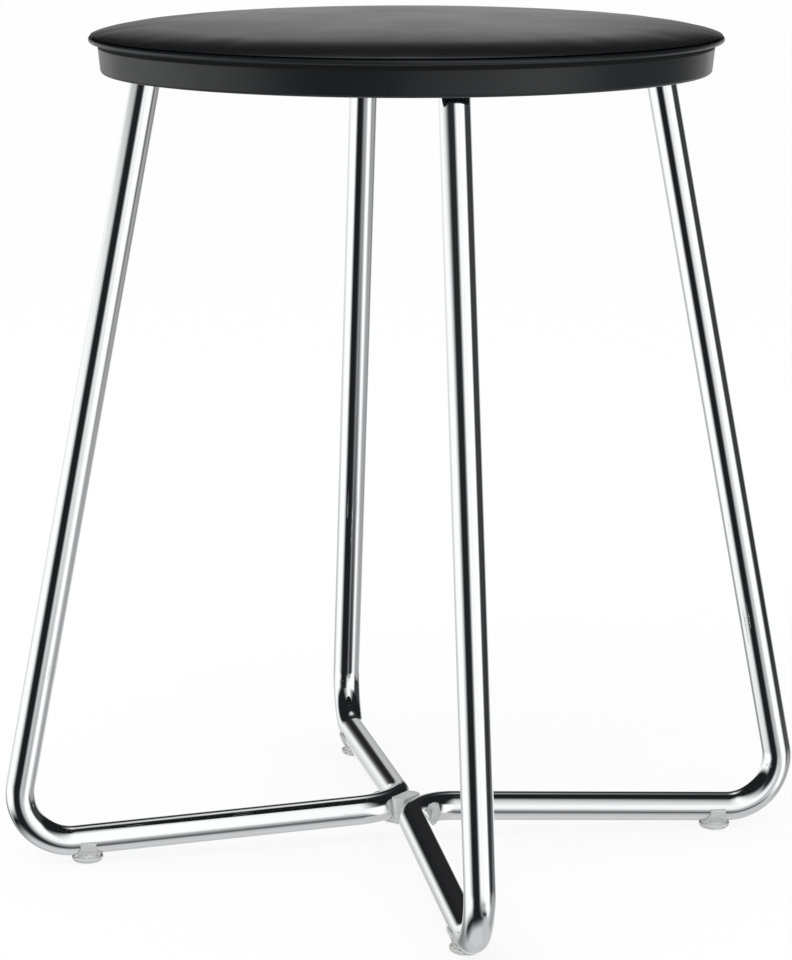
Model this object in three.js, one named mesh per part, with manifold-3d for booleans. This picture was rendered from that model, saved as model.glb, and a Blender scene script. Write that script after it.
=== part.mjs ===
// Low stool: a round padded seat on two bent chrome tubes that cross back to back.
// Millimetres, +Z up, origin on the floor under the middle of the seat.
// The right leg stands on +X, the back leg on +Y, the left leg on -X and the front leg on -Y.
import * as THREE from 'three';
import { mergeVertices } from 'three/addons/utils/BufferGeometryUtils.js';
import Module from 'manifold-3d';

const wasm = await Module();
wasm.setup();

// Shared gaps
const restGap = 0.3; // between two pieces that rest on or grip each other
const overrun = 1; // how far a cutter or a joined block runs past a face
const weldTolerance = 0.00001;

// Bent tubes
const tubeDiameter = 16;
const tubeWall = 1.5;
const footReach = 215.4; // plan distance from the stool's axis to where leg and runner centrelines meet
const footAxisHeight = 9.5; // height of that meeting point
const crossingRise = 12; // how much higher the two runners of a tube meet, at the stool's axis
const legTopInset = 27.3; // leg's centreline at the floor of its socket, inside the skirt's top
const outerBendRadius = 27.5;
const crossingBendRadius = 26;

// Seat pan
const lipHeight = 437.2; // floor to the underside of the lip
const lipThickness = 2.8;
const lipRadius = 165;
const lipRound = 1.3;
const lipOverhang = 4.7; // lip's edge outside the skirt's top
const seatRecess = 1.5; // how deep the cushion sits in the top of the pan
const recessInset = 15; // recess's edge inside the lip's edge
const webThickness = 2.5;
const skirtDepth = 15.8; // below the lip
const skirtTaper = 1.3; // skirt's lower edge inside its top
const skirtWall = 2.8;
const skirtEdgeRound = 1.8;
const ribThickness = 2;
const ribDepth = 8;
const ribRingInset = 30; // ring rib inside the circle of the cushion's bosses

// Leg sockets in the pan
const socketWall = 2.6;
const socketFloorDrop = 2.2; // socket floor's middle below the web
const socketMouthRise = 0.6; // socket mouth above the skirt's lower edge

// Leg plugs and the countersunk screws that pull them up
const plugFlange = 1.5;
const plugFlangeInset = 0.4; // flange edge inside the tube's outside
const plugLength = 20;
const legScrewDiameter = 5;
const legScrewLength = 20;
const legScrewHeadDiameter = 9.2;
const legScrewHeadDepth = 2.5;
const legScrewHeadSink = 1.1; // head's middle below the top of the web
const hexRecessWidth = 3;
const hexRecessDepth = 1.6;

// Cushion
const coverInset = 0.9; // cover's edge inside the lip's edge
const coverThickness = 1;
const crownRise = 10.5; // crown above the top of the lip
const domeDrop = 4.1; // fall of the shallow dome from its middle to where the edge roll starts
const rollWidth = 34;
const rollDrop = 5.2;
const rollOverhang = 1.9; // how far the roll's curve would run on past the cover's edge
const hemWidth = 18.4; // turned under the edge
const cavityInset = 6.4; // padding space inside the cover's edge
const foamInset = 2; // foam's edge inside that space
const carrierThickness = 2.5;

// Bosses and screws that hold the cushion down
const bossInset = 41; // circle of the bosses inside the leg tops
const bossDiameter = 9;
const guideWall = 2.7;
const guideDepth = 8; // below the web
const carrierScrewDiameter = 4;
const carrierScrewLength = 11.4;
const washerDiameter = 12.5;
const washerThickness = 1.2;
const panHeadDiameter = 7.6;
const panHeadHeight = 2.2;

// Foot glides
const glideInset = 41.4; // middle of a glide inside the meeting point of leg and runner
const glideDiameter = 16.8;
const glideThickness = 2.9; // at the rim
const glideRound = 2.3; // from the flat underside up to the rim
const glideLand = 0.4; // level edge of the rim's top
const flareRound = 2.6; // hollow round from the rim's top up to the saddle
const saddleWidth = 18.6; // over both arms, across the tube
const saddleFootLength = 14.8; // along the tube
const saddleTopLength = 8.1;
const saddleFlare = 2.2; // how quickly the arms narrow above their foot
const saddleRise = 0.4; // arm tops above the tube's centreline
const spigotDiameter = 5;
const spigotReach = 2.4; // into the tube's bore

// Centre clip between the two crossing bends
const clipHalfWidth = 4.2;
const clipHalfLength = 7.7;
const clipPointReach = 9.2; // pointed ends, from the stool's axis
const clipTopRise = 6.4; // body's top above the tubes' centreline
const clipBaseDrop = 5.1; // body's underside below it
const clipBaseShare = 0.86; // outline of the underside against that of the top
const hookWidth = 5;
const hookWall = 2.2;
const hookRise = 4.7; // hook tips above the tubes' centreline

// Facet counts
const tubeSides = 16;
const outerBendSteps = 7;
const crossingBendSteps = 6;
const seatSides = 48;
const holeSides = 12;
const glideSides = 20;
const roundSteps = 3;
const rollSteps = 6;
const domeSteps = 4;

// Directions of the four legs
const quarterTurn = Math.PI / 2;
const legs = [
  { name: 'right', azimuth: 0 },
  { name: 'back', azimuth: quarterTurn },
  { name: 'left', azimuth: 2 * quarterTurn },
  { name: 'front', azimuth: 3 * quarterTurn },
];

// Sizes worked out from the ones above
const tubeRadius = tubeDiameter / 2;
const tubeBoreRadius = tubeRadius - tubeWall;
const runnerSlope = crossingRise / footReach;
const glideReach = footReach - glideInset;
const skirtTopRadius = lipRadius - lipOverhang;
const skirtBottomRadius = skirtTopRadius - skirtTaper;
const recessRadius = lipRadius - recessInset;
const legTopReach = skirtTopRadius - legTopInset;
const bossCircleRadius = legTopReach - bossInset;
const ribRingRadius = bossCircleRadius - ribRingInset;
const lipTop = lipHeight + lipThickness;
const webTop = lipTop - seatRecess;
const webUnderside = webTop - webThickness;
const skirtBottom = lipHeight - skirtDepth;
const socketFloorHeight = webUnderside - socketFloorDrop;
const legLean = Math.atan2(footReach - legTopReach, socketFloorHeight - footAxisHeight);
const tubeEndDrop = restGap + plugFlange + restGap; // along the leg, below the socket floor
const coverRadius = lipRadius - coverInset;
const rollStart = coverRadius + rollOverhang - rollWidth;
const hemUnderside = lipTop + restGap;
const hemTop = hemUnderside + coverThickness;
const carrierUnderside = webTop + restGap;
const guideBottom = webUnderside - guideDepth;

const material = {
  chrome: new THREE.MeshStandardMaterial({ color: 0xd8dadc, roughness: 0.06, metalness: 1 }),
  clearPlastic: new THREE.MeshStandardMaterial({ color: 0xc9cbc8, roughness: 0.35, metalness: 0 }),
  panPlastic: new THREE.MeshStandardMaterial({ color: 0x1b1c1e, roughness: 0.45, metalness: 0 }),
  leatherette: new THREE.MeshStandardMaterial({ color: 0x121214, roughness: 0.4, metalness: 0 }),
  foam: new THREE.MeshStandardMaterial({ color: 0xd9d2bd, roughness: 0.95, metalness: 0 }),
  carrierPlastic: new THREE.MeshStandardMaterial({ color: 0x2c2d2f, roughness: 0.6, metalness: 0 }),
  steel: new THREE.MeshStandardMaterial({ color: 0xa6a8ab, roughness: 0.3, metalness: 1 }),
};

// Welds a geometry's corners, drops collapsed triangles and turns its faces outwards
function weld(geometry) {
  const bare = geometry.clone();
  bare.deleteAttribute('normal');
  bare.deleteAttribute('uv');
  const merged = mergeVertices(bare, weldTolerance);
  const position = merged.attributes.position;
  const kept = [];
  let volume = 0;
  const corner = [new THREE.Vector3(), new THREE.Vector3(), new THREE.Vector3()];
  for (let i = 0; i < merged.index.count; i += 3) {
    const [a, b, c] = [0, 1, 2].map((k) => merged.index.getX(i + k));
    if (a === b || b === c || c === a) continue;
    kept.push(a, b, c);
    [a, b, c].forEach((v, k) => corner[k].fromBufferAttribute(position, v));
    volume += corner[0].dot(corner[1].cross(corner[2]));
  }
  merged.setIndex(volume < 0 ? kept.reverse() : kept);
  return merged;
}

function toSolid(geometry) {
  const merged = weld(geometry);
  return new wasm.Manifold(new wasm.Mesh({
    numProp: 3,
    vertProperties: Float32Array.from(merged.attributes.position.array),
    triVerts: Uint32Array.from(merged.index.array),
  }));
}

function toGeometry(solid) {
  const mesh = solid.getMesh();
  const geometry = new THREE.BufferGeometry();
  geometry.setAttribute('position', new THREE.BufferAttribute(mesh.vertProperties, 3));
  geometry.setIndex(new THREE.BufferAttribute(mesh.triVerts, 1));
  return geometry;
}

function namedMesh(name, geometry, finish) {
  const welded = weld(geometry);
  welded.computeVertexNormals();
  const mesh = new THREE.Mesh(welded, finish);
  mesh.name = name;
  return mesh;
}

// A profile of [radius, height] pairs turned about +Z
function turned(profile, sides) {
  const points = profile.map(([radius, height]) => new THREE.Vector2(radius, height));
  return new THREE.LatheGeometry(points, sides).rotateX(quarterTurn);
}

// A round bar along +Z from one height to another
function bar(radius, from, to, sides) {
  return turned([[0, from], [radius, from], [radius, to], [0, to]], sides);
}

// Points of a quarter round about a centre, from one angle to another
function roundPoints(centreRadius, centreHeight, size, from, to) {
  const points = [];
  for (let i = 0; i <= roundSteps; i += 1) {
    const angle = from + (to - from) * (i / roundSteps);
    points.push([centreRadius + size * Math.cos(angle), centreHeight + size * Math.sin(angle)]);
  }
  return points;
}

function extruded(points, depth) {
  const shape = new THREE.Shape(points.map(([x, y]) => new THREE.Vector2(x, y)));
  return new THREE.ExtrudeGeometry(shape, { depth, bevelEnabled: false });
}

// Route of straight runs joined by round bends, with one station for each section of the tube
class BentRoute extends THREE.Curve {
  constructor(corners, bends) {
    super();
    this.stations = [];
    const heading = (from, to) => to.clone().sub(from).normalize();
    this.stations.push({ point: corners[0], tangent: heading(corners[0], corners[1]) });
    bends.forEach(({ radius, steps }, i) => {
      const corner = corners[i + 1];
      const arriving = heading(corners[i], corner);
      const leaving = heading(corner, corners[i + 2]);
      const turn = arriving.angleTo(leaving);
      const inward = leaving.clone().sub(arriving).normalize();
      const centre = corner.clone().addScaledVector(inward, radius / Math.cos(turn / 2));
      const axis = arriving.clone().cross(leaving).normalize();
      const start = corner.clone().addScaledVector(arriving, -radius * Math.tan(turn / 2)).sub(centre);
      for (let step = 0; step <= steps; step += 1) {
        const angle = turn * (step / steps);
        this.stations.push({
          point: start.clone().applyAxisAngle(axis, angle).add(centre),
          tangent: arriving.clone().applyAxisAngle(axis, angle),
        });
      }
    });
    const [before, last] = corners.slice(-2);
    this.stations.push({ point: last, tangent: heading(before, last) });
  }

  station(t) {
    return this.stations[Math.round(t * (this.stations.length - 1))];
  }

  getUtoTmapping(u) {
    return u;
  }

  getPoint(t, target = new THREE.Vector3()) {
    return target.copy(this.station(t).point);
  }

  getTangent(t, target = new THREE.Vector3()) {
    return target.copy(this.station(t).tangent);
  }
}

// Where a leg's centreline is, at a distance along it below the socket floor
function legPoint(azimuth, drop) {
  const reach = legTopReach + drop * Math.sin(legLean);
  const height = socketFloorHeight - drop * Math.cos(legLean);
  return new THREE.Vector3(reach * Math.cos(azimuth), reach * Math.sin(azimuth), height);
}

function footPoint(azimuth) {
  return new THREE.Vector3(footReach * Math.cos(azimuth), footReach * Math.sin(azimuth), footAxisHeight);
}

// Leg, runner, crossing bend, runner and leg of the tube that stands on +X and -Y
function tubeRoute() {
  const right = legs[0].azimuth;
  const front = legs[3].azimuth;
  const corners = [
    legPoint(right, tubeEndDrop),
    footPoint(right),
    new THREE.Vector3(0, 0, footAxisHeight + crossingRise),
    footPoint(front),
    legPoint(front, tubeEndDrop),
  ];
  const outer = { radius: outerBendRadius, steps: outerBendSteps };
  const crossing = { radius: crossingBendRadius, steps: crossingBendSteps };
  return new BentRoute(corners, [outer, crossing, outer]);
}

function circleShape(radius, ShapeClass) {
  const points = [];
  for (let i = 0; i < tubeSides; i += 1) {
    const angle = (i / tubeSides) * 4 * quarterTurn;
    points.push(new THREE.Vector2(radius * Math.cos(angle), radius * Math.sin(angle)));
  }
  return new ShapeClass(points);
}

function sweptSection(outerRadius, boreRadius) {
  const route = tubeRoute();
  const section = circleShape(outerRadius, THREE.Shape);
  if (boreRadius > 0) section.holes.push(circleShape(boreRadius, THREE.Path));
  return new THREE.ExtrudeGeometry(section, { extrudePath: route, steps: route.stations.length - 1 });
}

// Height of a runner's centreline at a plan distance from the stool's axis
function runnerHeight(reach) {
  return footAxisHeight + runnerSlope * (footReach - reach);
}

// One bent tube, drilled from below for the spigots of its two glides
function bentTube() {
  let tube = toSolid(sweptSection(tubeRadius, tubeBoreRadius));
  for (const azimuth of [legs[0].azimuth, legs[3].azimuth]) {
    const hole = bar(spigotDiameter / 2 + restGap, 0, runnerHeight(glideReach), holeSides);
    hole.translate(glideReach * Math.cos(azimuth), glideReach * Math.sin(azimuth), 0);
    tube = tube.subtract(toSolid(hole));
  }
  return toGeometry(tube);
}

// Glide standing on the floor under a runner that runs outwards along +X
function footGlide() {
  const axisHeight = runnerHeight(glideReach);
  const radius = glideDiameter / 2;
  const disc = turned([
    [0, 0],
    ...roundPoints(radius - glideRound, glideRound, glideRound, -quarterTurn, 0),
    [radius, glideThickness],
    ...roundPoints(radius - glideLand, glideThickness + flareRound, flareRound, -quarterTurn, -2 * quarterTurn),
    [0, glideThickness + flareRound],
  ], glideSides);
  const saddleBase = glideThickness - glideLand;
  const saddleTop = axisHeight + saddleRise;
  const side = [];
  for (let i = 0; i <= roundSteps; i += 1) {
    const share = i / roundSteps;
    const half = (saddleTopLength + (saddleFootLength - saddleTopLength) * (1 - share) ** saddleFlare) / 2;
    side.push([half, saddleBase + (saddleTop - saddleBase) * share]);
  }
  const otherSide = side.map(([x, z]) => [-x, z]).reverse();
  const saddle = extruded([...side, ...otherSide], saddleWidth);
  saddle.rotateX(quarterTurn).translate(0, saddleWidth / 2, 0);
  const round = (barRadius) => {
    const lying = bar(barRadius, -saddleWidth, saddleWidth, tubeSides);
    return toSolid(lying.rotateY(quarterTurn + Math.atan(runnerSlope)).translate(0, 0, axisHeight));
  };
  const spigotTop = axisHeight - tubeBoreRadius + spigotReach;
  const spigot = bar(spigotDiameter / 2, glideThickness / 2, spigotTop, holeSides);
  const arms = toSolid(saddle).intersect(round(saddleWidth / 2));
  const body = toSolid(disc).add(arms).subtract(round(tubeRadius + restGap));
  return toGeometry(body.add(toSolid(spigot)));
}

// Pointed block between the tubes, narrower towards its underside
function clipBody(base, top) {
  const block = extruded([
    [clipHalfWidth, -clipHalfLength],
    [clipHalfWidth, clipHalfLength],
    [0, clipPointReach],
    [-clipHalfWidth, clipHalfLength],
    [-clipHalfWidth, -clipHalfLength],
    [0, -clipPointReach],
  ], top - base);
  const { position } = block.attributes;
  for (let i = 0; i < position.count; i += 1) {
    const share = position.getZ(i) > 0 ? 1 : clipBaseShare;
    position.setXY(i, position.getX(i) * share, position.getY(i) * share);
  }
  return block.translate(0, 0, base);
}

// Clip at the stool's axis: a body between the tubes, a bridge under them and a round hook about each
function centreClip() {
  const apexReach = crossingBendRadius * (Math.SQRT2 - 1);
  const apexHeight = footAxisHeight + crossingRise - runnerSlope * apexReach * Math.SQRT1_2;
  const hookRadius = tubeRadius + restGap + hookWall;
  const bridge = new THREE.BoxGeometry(2 * apexReach, hookWidth, hookRadius);
  let clip = toSolid(clipBody(apexHeight - clipBaseDrop, apexHeight + clipTopRise));
  clip = clip.add(toSolid(bridge.translate(0, 0, apexHeight - hookRadius / 2)));
  for (const side of [-1, 1]) {
    const ring = bar(hookRadius, -hookWidth / 2, hookWidth / 2, tubeSides);
    ring.rotateX(quarterTurn).translate(side * apexReach, 0, apexHeight);
    const above = new THREE.BoxGeometry(2 * hookRadius + overrun, hookWidth + overrun, hookRadius);
    above.translate(side * apexReach, 0, apexHeight + hookRise + hookRadius / 2);
    clip = clip.add(toSolid(ring).subtract(toSolid(above)));
  }
  clip = toSolid(toGeometry(clip).rotateZ(-quarterTurn / 2));
  const passage = sweptSection(tubeRadius + restGap, 0);
  clip = clip.subtract(toSolid(passage)).subtract(toSolid(passage.clone().rotateZ(2 * quarterTurn)));
  return toGeometry(clip);
}

// Group whose +Z runs up along a leg, with its origin at the middle of the socket floor
function legGroup(azimuth) {
  const turn = new THREE.Group();
  turn.rotation.z = azimuth;
  const lean = new THREE.Group();
  lean.position.set(legTopReach, 0, socketFloorHeight);
  lean.rotation.y = -legLean;
  turn.add(lean);
  return { turn, lean };
}

function inLegPlace(geometry, azimuth) {
  return geometry.rotateY(-legLean).translate(legTopReach, 0, socketFloorHeight).rotateZ(azimuth);
}

// Middle of the leg screw's head above the socket floor, along the leg
function legScrewHeadTop() {
  return (webTop - legScrewHeadSink - socketFloorHeight) / Math.cos(legLean);
}

// Radial rib under the web
function radialRib(from, to, azimuth) {
  const rib = new THREE.BoxGeometry(to - from, ribThickness, ribDepth + overrun);
  rib.translate((from + to) / 2, 0, webUnderside + overrun - (ribDepth + overrun) / 2);
  return rib.rotateZ(azimuth);
}

function bossPlaces() {
  return legs.map(({ azimuth }) => {
    const turn = azimuth + quarterTurn / 2;
    return [bossCircleRadius * Math.cos(turn), bossCircleRadius * Math.sin(turn)];
  });
}

// Skirt, lip, web and ring rib of the pan as one turned shape
function panShell() {
  const skirtInnerTop = skirtTopRadius - skirtWall;
  const skirtInnerBottom = skirtBottomRadius - skirtWall;
  return turned([
    [0, webUnderside],
    [ribRingRadius - ribThickness / 2, webUnderside],
    [ribRingRadius - ribThickness / 2, webUnderside - ribDepth],
    [ribRingRadius + ribThickness / 2, webUnderside - ribDepth],
    [ribRingRadius + ribThickness / 2, webUnderside],
    [skirtInnerTop, webUnderside],
    [skirtInnerBottom, skirtBottom],
    ...roundPoints(skirtBottomRadius - skirtEdgeRound, skirtBottom + skirtEdgeRound, skirtEdgeRound, -quarterTurn, 0),
    [skirtTopRadius, lipHeight],
    ...roundPoints(lipRadius - lipRound, lipHeight + lipRound, lipRound, -quarterTurn, 0),
    ...roundPoints(lipRadius - lipRound, lipTop - lipRound, lipRound, 0, quarterTurn),
    [recessRadius, lipTop],
    [recessRadius, webTop],
    [0, webTop],
  ], seatSides);
}

// Sleeves for the leg tops, cut level at their mouths
function legSockets() {
  const sleeveRadius = tubeRadius + restGap + socketWall;
  const mouth = skirtBottom + socketMouthRise;
  const slab = toSolid(bar(skirtBottomRadius, mouth, webTop - webThickness / 2, seatSides));
  let sockets = null;
  for (const { azimuth } of legs) {
    const sleeve = toSolid(inLegPlace(bar(sleeveRadius, -2 * skirtDepth, skirtDepth, tubeSides), azimuth));
    sockets = sockets ? sockets.add(sleeve) : sleeve;
  }
  return sockets.intersect(slab);
}

// Space for a leg top, its screw and the screw's head
function legSocketCut(azimuth) {
  const headTop = legScrewHeadTop();
  const shank = legScrewDiameter / 2 + restGap;
  const head = legScrewHeadDiameter / 2 + restGap;
  const bore = toSolid(inLegPlace(bar(tubeRadius + restGap, -2 * skirtDepth, 0, tubeSides), azimuth));
  const screw = turned([
    [0, -overrun],
    [shank, -overrun],
    [shank, headTop - legScrewHeadDepth - restGap],
    [head, headTop - restGap],
    [head, headTop + seatRecess + webThickness],
    [0, headTop + seatRecess + webThickness],
  ], holeSides);
  return bore.add(toSolid(inLegPlace(screw, azimuth)));
}

function seatPan() {
  let pan = toSolid(panShell()).add(legSockets());
  const skirtMiddle = skirtBottomRadius - skirtWall / 2;
  for (const { azimuth } of legs) {
    pan = pan.add(toSolid(radialRib(ribRingRadius, legTopReach, azimuth)));
    pan = pan.add(toSolid(radialRib(legTopReach, skirtMiddle, azimuth)));
    pan = pan.add(toSolid(radialRib(bossCircleRadius, skirtMiddle, azimuth + quarterTurn / 2)));
  }
  for (const [x, y] of bossPlaces()) {
    const guideRadius = bossDiameter / 2 + restGap + guideWall;
    const guide = bar(guideRadius, guideBottom, webUnderside + overrun, tubeSides).translate(x, y, 0);
    const hole = bar(bossDiameter / 2 + restGap, guideBottom - overrun, webTop + overrun, tubeSides);
    pan = pan.add(toSolid(guide)).subtract(toSolid(hole.translate(x, y, 0)));
  }
  for (const { azimuth } of legs) {
    pan = pan.subtract(legSocketCut(azimuth));
  }
  return toGeometry(pan);
}

// Plug in a leg's open top, with a flange that the socket floor bears on
function legPlug() {
  const flangeRadius = tubeRadius - plugFlangeInset;
  const bodyRadius = tubeBoreRadius - restGap;
  const bore = legScrewDiameter / 2 + restGap;
  const flangeTop = -restGap;
  const flangeBottom = flangeTop - plugFlange;
  return turned([
    [bore, flangeTop - plugLength],
    [bodyRadius, flangeTop - plugLength],
    [bodyRadius, flangeBottom],
    [flangeRadius, flangeBottom],
    [flangeRadius, flangeTop],
    [bore, flangeTop],
    [bore, flangeTop - plugLength],
  ], tubeSides);
}

function legScrew() {
  const headTop = legScrewHeadTop();
  const shank = legScrewDiameter / 2;
  const screw = toSolid(turned([
    [0, headTop - legScrewLength],
    [shank, headTop - legScrewLength],
    [shank, headTop - legScrewHeadDepth],
    [legScrewHeadDiameter / 2, headTop],
    [0, headTop],
  ], holeSides));
  const recess = bar(hexRecessWidth / Math.sqrt(3), headTop - hexRecessDepth, headTop + overrun, 6);
  return toGeometry(screw.subtract(toSolid(recess)));
}

// Height of the cushion's outer surface at a distance from its middle
function crownHeight(radius) {
  const dome = domeDrop * (radius / rollStart) ** 2;
  const along = Math.max(0, radius - rollStart) / rollWidth;
  return lipTop + crownRise - dome - rollDrop * (1 - Math.sqrt(1 - along ** 2));
}

// Points of that surface from an outer radius to the middle, lowered by a thickness
function crownPoints(outerRadius, lowered) {
  const points = [];
  for (let i = 0; i < rollSteps; i += 1) {
    const swing = quarterTurn * (1 - i / rollSteps);
    const radius = rollStart + (outerRadius - rollStart) * Math.sin(swing);
    points.push([radius, crownHeight(radius) - lowered]);
  }
  for (let i = 0; i <= domeSteps; i += 1) {
    const radius = rollStart * (1 - i / domeSteps);
    points.push([radius, crownHeight(radius) - lowered]);
  }
  return points;
}

// Cover: crowned top, rolled edge and a hem turned under, open over the carrier
function seatCover() {
  const cavityRadius = coverRadius - cavityInset;
  const hemInnerRadius = coverRadius - hemWidth;
  return turned([
    [hemInnerRadius, hemUnderside],
    [coverRadius, hemUnderside],
    ...crownPoints(coverRadius, 0),
    ...crownPoints(cavityRadius, coverThickness).reverse(),
    [cavityRadius, hemTop],
    [hemInnerRadius, hemTop],
    [hemInnerRadius, hemUnderside],
  ], seatSides);
}

function seatFoam() {
  const foamRadius = coverRadius - cavityInset - foamInset;
  const underside = hemTop + restGap;
  return turned([
    [0, underside],
    [foamRadius, underside],
    ...crownPoints(foamRadius, coverThickness + restGap),
  ], seatSides);
}

// Carrier plate inside the hem, with a boss down through each guide of the pan
function cushionCarrier() {
  const radius = coverRadius - hemWidth - restGap;
  const bossBottom = guideBottom + restGap;
  const boreTop = guideBottom - restGap + carrierScrewLength + restGap;
  let carrier = toSolid(bar(radius, carrierUnderside, carrierUnderside + carrierThickness, seatSides));
  for (const [x, y] of bossPlaces()) {
    const boss = bar(bossDiameter / 2, bossBottom, carrierUnderside + carrierThickness / 2, tubeSides);
    const bore = bar(carrierScrewDiameter / 2 + restGap, bossBottom - overrun, boreTop, holeSides);
    carrier = carrier.add(toSolid(boss.translate(x, y, 0))).subtract(toSolid(bore.translate(x, y, 0)));
  }
  return toGeometry(carrier);
}

// Washer-head screw, its origin on the washer's upper face
function carrierScrew() {
  const shank = carrierScrewDiameter / 2;
  const headBottom = -washerThickness - panHeadHeight;
  const screw = toSolid(turned([
    [0, headBottom],
    [panHeadDiameter / 2, headBottom],
    [panHeadDiameter / 2, -washerThickness],
    [washerDiameter / 2, -washerThickness],
    [washerDiameter / 2, 0],
    [shank, 0],
    [shank, carrierScrewLength],
    [0, carrierScrewLength],
  ], holeSides));
  const recess = bar(hexRecessWidth / Math.sqrt(3), headBottom - overrun, headBottom + hexRecessDepth, 6);
  return toGeometry(screw.subtract(toSolid(recess)));
}

function frame() {
  const group = new THREE.Group();
  const tube = bentTube();
  const rightFront = namedMesh('frame_tube_right_front', tube, material.chrome);
  const leftBack = namedMesh('frame_tube_left_back', tube, material.chrome);
  leftBack.rotation.z = 2 * quarterTurn;
  group.add(rightFront, leftBack);
  group.add(namedMesh('centre_clip', centreClip(), material.clearPlastic));
  for (const { name, azimuth } of legs) {
    const spoke = new THREE.Group();
    spoke.rotation.z = azimuth;
    const glide = namedMesh(`foot_glide_${name}`, footGlide(), material.clearPlastic);
    glide.position.x = glideReach;
    spoke.add(glide);
    group.add(spoke);
  }
  return group;
}

function legFixings() {
  const group = new THREE.Group();
  for (const { name, azimuth } of legs) {
    const { turn, lean } = legGroup(azimuth);
    lean.add(namedMesh(`leg_plug_${name}`, legPlug(), material.steel));
    lean.add(namedMesh(`leg_screw_${name}`, legScrew(), material.steel));
    group.add(turn);
  }
  return group;
}

function seat() {
  const group = new THREE.Group();
  group.add(namedMesh('seat_pan', seatPan(), material.panPlastic));
  group.add(namedMesh('cushion_carrier', cushionCarrier(), material.carrierPlastic));
  group.add(namedMesh('seat_foam', seatFoam(), material.foam));
  group.add(namedMesh('seat_cover', seatCover(), material.leatherette));
  bossPlaces().forEach(([x, y], i) => {
    const screw = namedMesh(`carrier_screw_${i + 1}`, carrierScrew(), material.steel);
    screw.position.set(x, y, guideBottom - restGap);
    group.add(screw);
  });
  return group;
}

const stool = new THREE.Group();
stool.name = 'round_seated_stool';
stool.add(frame(), legFixings(), seat());

export default stool;
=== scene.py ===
"""Looks of a round padded stool on two bent chrome tubes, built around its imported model."""

import math

import bmesh
import bpy
from bpy.props import FloatProperty, FloatVectorProperty, IntProperty, PointerProperty
from mathutils import Matrix, Vector


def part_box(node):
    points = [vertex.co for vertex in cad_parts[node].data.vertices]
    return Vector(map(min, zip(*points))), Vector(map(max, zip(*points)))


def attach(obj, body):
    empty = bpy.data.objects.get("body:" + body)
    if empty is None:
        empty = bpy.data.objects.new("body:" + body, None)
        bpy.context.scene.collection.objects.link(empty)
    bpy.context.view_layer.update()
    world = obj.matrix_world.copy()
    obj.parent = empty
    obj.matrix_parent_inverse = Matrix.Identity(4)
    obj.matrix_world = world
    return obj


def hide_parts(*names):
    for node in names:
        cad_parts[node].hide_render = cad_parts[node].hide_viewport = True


bl_info = {
    "name": "Round padded stool",
    "version": (1, 0, 0),
    "blender": (4, 5, 0),
    "location": "View3D > Sidebar > Stool",
    "description": "Builds a low round stool: chrome tubes, centre clip, glides, pan and cushion",
    "category": "Object",
}

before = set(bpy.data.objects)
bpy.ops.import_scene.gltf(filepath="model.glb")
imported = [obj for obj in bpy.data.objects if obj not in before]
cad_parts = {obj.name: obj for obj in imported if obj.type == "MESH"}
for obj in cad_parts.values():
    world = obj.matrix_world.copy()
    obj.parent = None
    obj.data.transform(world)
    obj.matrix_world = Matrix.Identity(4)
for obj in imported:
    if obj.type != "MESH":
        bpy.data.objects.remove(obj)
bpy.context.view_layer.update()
MM = 0.001
UP = Vector((0, 0, 1))
QUARTER = math.pi / 2
BODY = "root"
FINISH = "_finish"
LEGS = (("right", 0), ("back", 1), ("left", 2), ("front", 3))
FINE, MEDIUM, PLAIN, SMALL = 96, 72, 64, 48  # faces round turned shapes
GRIP_GAP = 0.12 * MM  # between a clip or glide and the tube that it grips
LOOSE_GAP = 0.3 * MM  # between pieces that are put together by hand


def length(name, description, millimetres):
    """A length that a user can change, given in millimetres and kept in metres."""
    return FloatProperty(
        name=name, description=description, default=millimetres * MM, min=0, unit="LENGTH", precision=4
    )


def colour(name, description, value):
    return FloatVectorProperty(
        name=name, description=description, default=value, subtype="COLOR", size=3, min=0, max=1
    )


def share(name, description, value):
    return FloatProperty(name=name, description=description, default=value, min=0, max=1, subtype="FACTOR")


class StoolFrameSizes(bpy.types.PropertyGroup):
    """Sizes of the two bent tubes"""

    tube_diameter: length("Tube diameter", "Outside of the bent tube", 16)
    tube_wall: length("Tube wall", "Wall of the bent tube", 1.5)
    foot_reach: length("Foot reach", "Stool's axis to where leg and runner centrelines meet", 215.4)
    foot_height: length("Foot height", "Height of that meeting point", 9.5)
    crossing_rise: length("Crossing rise", "How much higher the runners meet at the stool's axis", 12)
    leg_top_reach: length("Leg top reach", "Stool's axis to a leg's centreline in its socket", 133)
    leg_top_height: length("Leg top height", "Height of the socket floor on that centreline", 433.8)
    leg_top_drop: length("Leg top drop", "Tube's end below the socket floor", 2.1)
    outer_bend: length("Outer bend", "Centreline radius of the bend from leg to runner", 27.5)
    crossing_bend: length("Crossing bend", "Centreline radius of the bend at the clip", 26)
    sides: IntProperty(name="Tube sides", description="Faces round the tube", default=64, min=12)
    bend_steps: IntProperty(name="Bend steps", description="Sections in each bend", default=28, min=6)


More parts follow.
